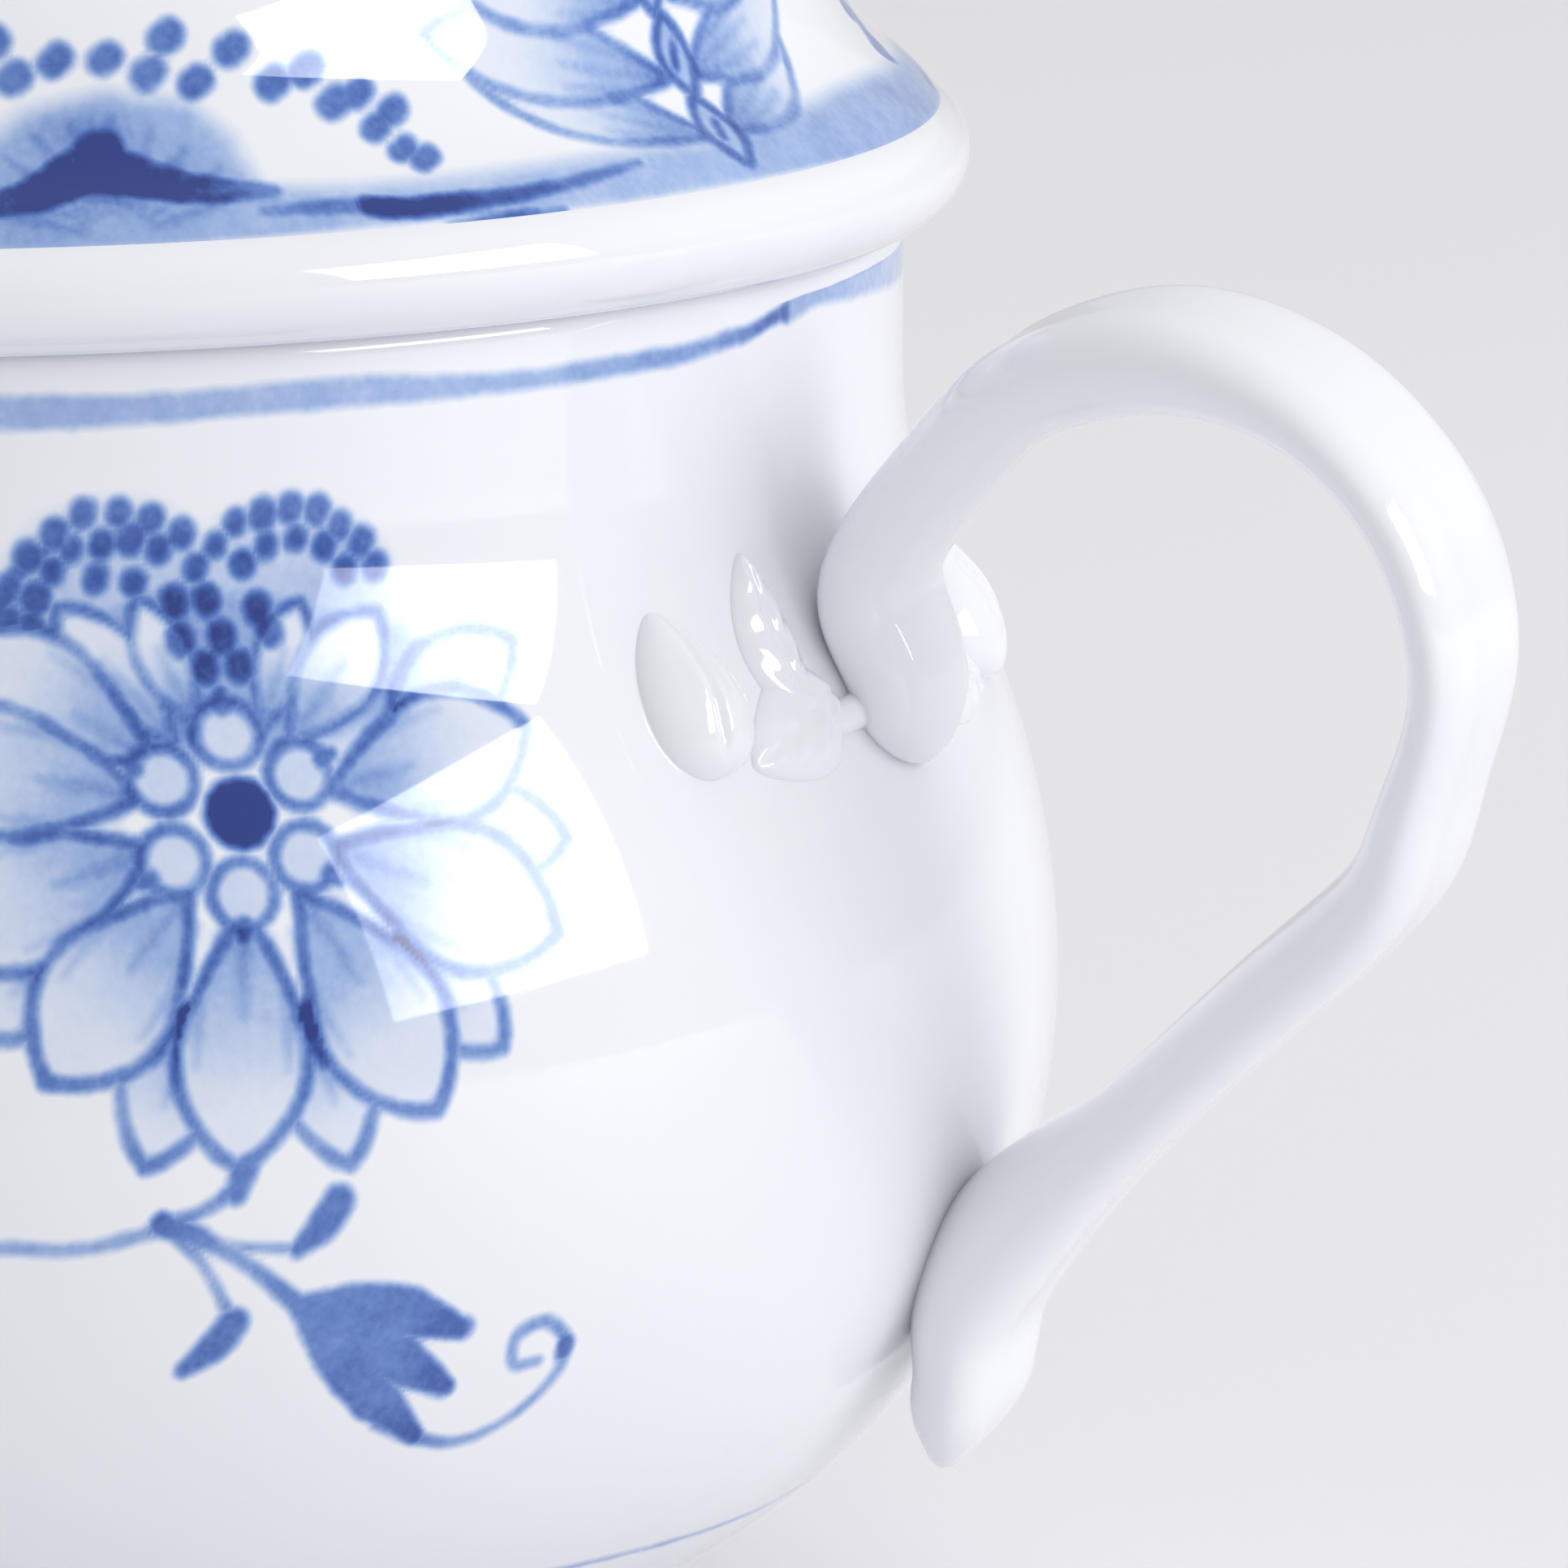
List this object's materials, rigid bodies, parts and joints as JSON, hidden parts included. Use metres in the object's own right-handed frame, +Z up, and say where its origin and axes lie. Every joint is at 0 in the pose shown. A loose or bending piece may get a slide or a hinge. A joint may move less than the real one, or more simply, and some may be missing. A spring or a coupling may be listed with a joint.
{
  "type": "covered sugar bowl",
  "caption": "Round covered porcelain sugar bowl with ear-shaped strap handles, relief bud sprigs, a domed drop-in lid and a rosebud knob, hand-painted in cobalt blue.",
  "frame": {"origin": "centre of the circle on which the foot ring stands, at the bottom of the bowl", "axes": "+Z up along the bowl's axis, +X towards one handle and -X towards the other, -Y towards the painted front"},
  "size_m": [0.1322, 0.0898, 0.1008],
  "materials": {
    "painted_bowl_glaze": "gloss white glaze over hand-painted cobalt blue flowers, unglazed foot ring",
    "painted_lid_glaze": "gloss white glaze over hand-painted cobalt blue blossoms with a white rim",
    "white_glaze": "gloss bluish-white glaze"
  },
  "bodies": {
    "bowl": {"bowl_body": "painted_bowl_glaze", "handle_right": "white_glaze", "handle_left": "white_glaze", "sprig_bud_right_front": "white_glaze", "sprig_leaf_tall_right_front": "white_glaze", "sprig_leaf_low_right_front": "white_glaze", "sprig_stem_right_front": "white_glaze", "sprig_bud_right_back": "white_glaze", "sprig_leaf_tall_right_back": "white_glaze", "sprig_leaf_low_right_back": "white_glaze", "sprig_stem_right_back": "white_glaze", "sprig_bud_left_front": "white_glaze", "sprig_leaf_tall_left_front": "white_glaze", "sprig_leaf_low_left_front": "white_glaze", "sprig_stem_left_front": "white_glaze", "sprig_bud_left_back": "white_glaze", "sprig_leaf_tall_left_back": "white_glaze", "sprig_leaf_low_left_back": "white_glaze", "sprig_stem_left_back": "white_glaze"},
    "cover": {"lid": "painted_lid_glaze", "finial_stalk": "white_glaze", "finial_bud": "white_glaze", "finial_petal_1": "white_glaze", "finial_petal_2": "white_glaze", "finial_petal_3": "white_glaze", "finial_petal_4": "white_glaze", "finial_leaf_1": "white_glaze", "finial_leaf_2": "white_glaze", "finial_leaf_3": "white_glaze"}
  },
  "joints": [
    {"name": "lid_lift", "type": "slide", "parent": "bowl", "child": "cover", "axis": [0, 0, 1], "range_m": [0, 0.06]}
  ]
}
